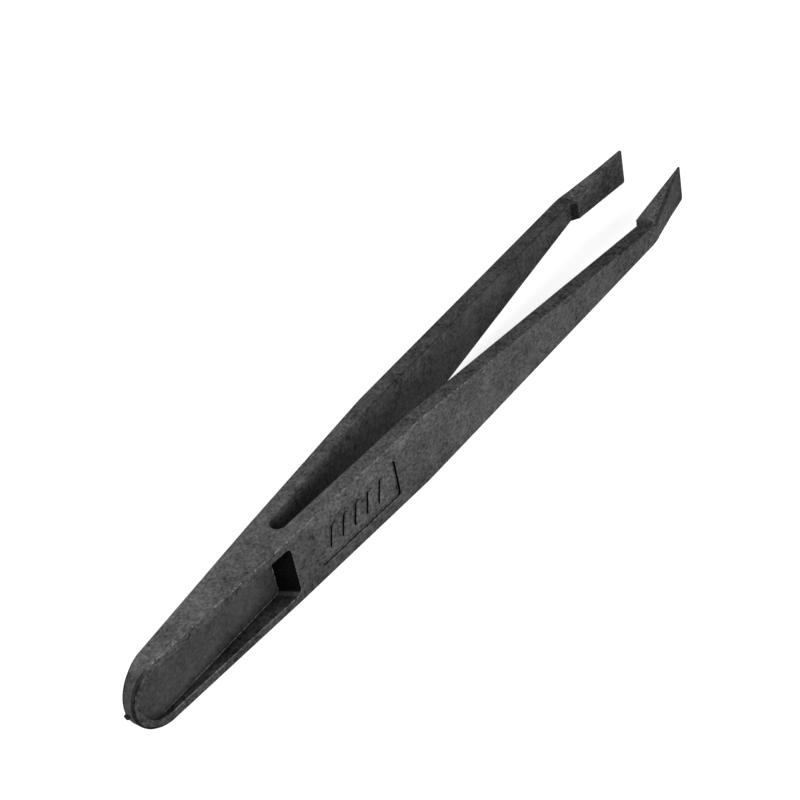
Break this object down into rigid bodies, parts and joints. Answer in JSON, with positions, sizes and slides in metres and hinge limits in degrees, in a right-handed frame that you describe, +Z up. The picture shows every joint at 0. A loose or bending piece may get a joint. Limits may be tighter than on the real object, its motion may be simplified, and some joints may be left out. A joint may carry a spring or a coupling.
{
  "type": "precision tweezers",
  "caption": "One-piece moulded plastic tweezers with a round-heeled pocketed handle, springy tapered arms and flat wedge jaws, lying on edge.",
  "frame": {"origin": "under the middle of the box round the whole part: halfway along its length, on the plane midway between the arms, on the plane it lies on", "axes": "+X from the heel towards the tips, +Y towards the left arm, which is the way the arms open, +Z up, across the broad faces"},
  "size_m": [0.1152, 0.016, 0.0103],
  "materials": {
    "carbon_filled_plastic": "satin, faintly mottled charcoal black with fine fibre flecks"
  },
  "bodies": {
    "handle": {"handle": "carbon_filled_plastic"},
    "left_arm": {"left_arm": "carbon_filled_plastic", "left_jaw": "carbon_filled_plastic"},
    "right_arm": {"right_arm": "carbon_filled_plastic", "right_jaw": "carbon_filled_plastic"}
  },
  "joints": [
    {"name": "left_arm_flex", "type": "hinge", "parent": "handle", "child": "left_arm", "pos_m": [-0.02335, 0.00248, 0.00515], "axis": [0, 0, -1], "range_deg": [0, 3.38], "stiffness_Nm_per_rad": 1.2},
    {"name": "right_arm_flex", "type": "hinge", "parent": "handle", "child": "right_arm", "pos_m": [-0.02335, -0.00248, 0.00515], "axis": [0, 0, 1], "range_deg": [0, 3.38], "stiffness_Nm_per_rad": 1.2}
  ]
}
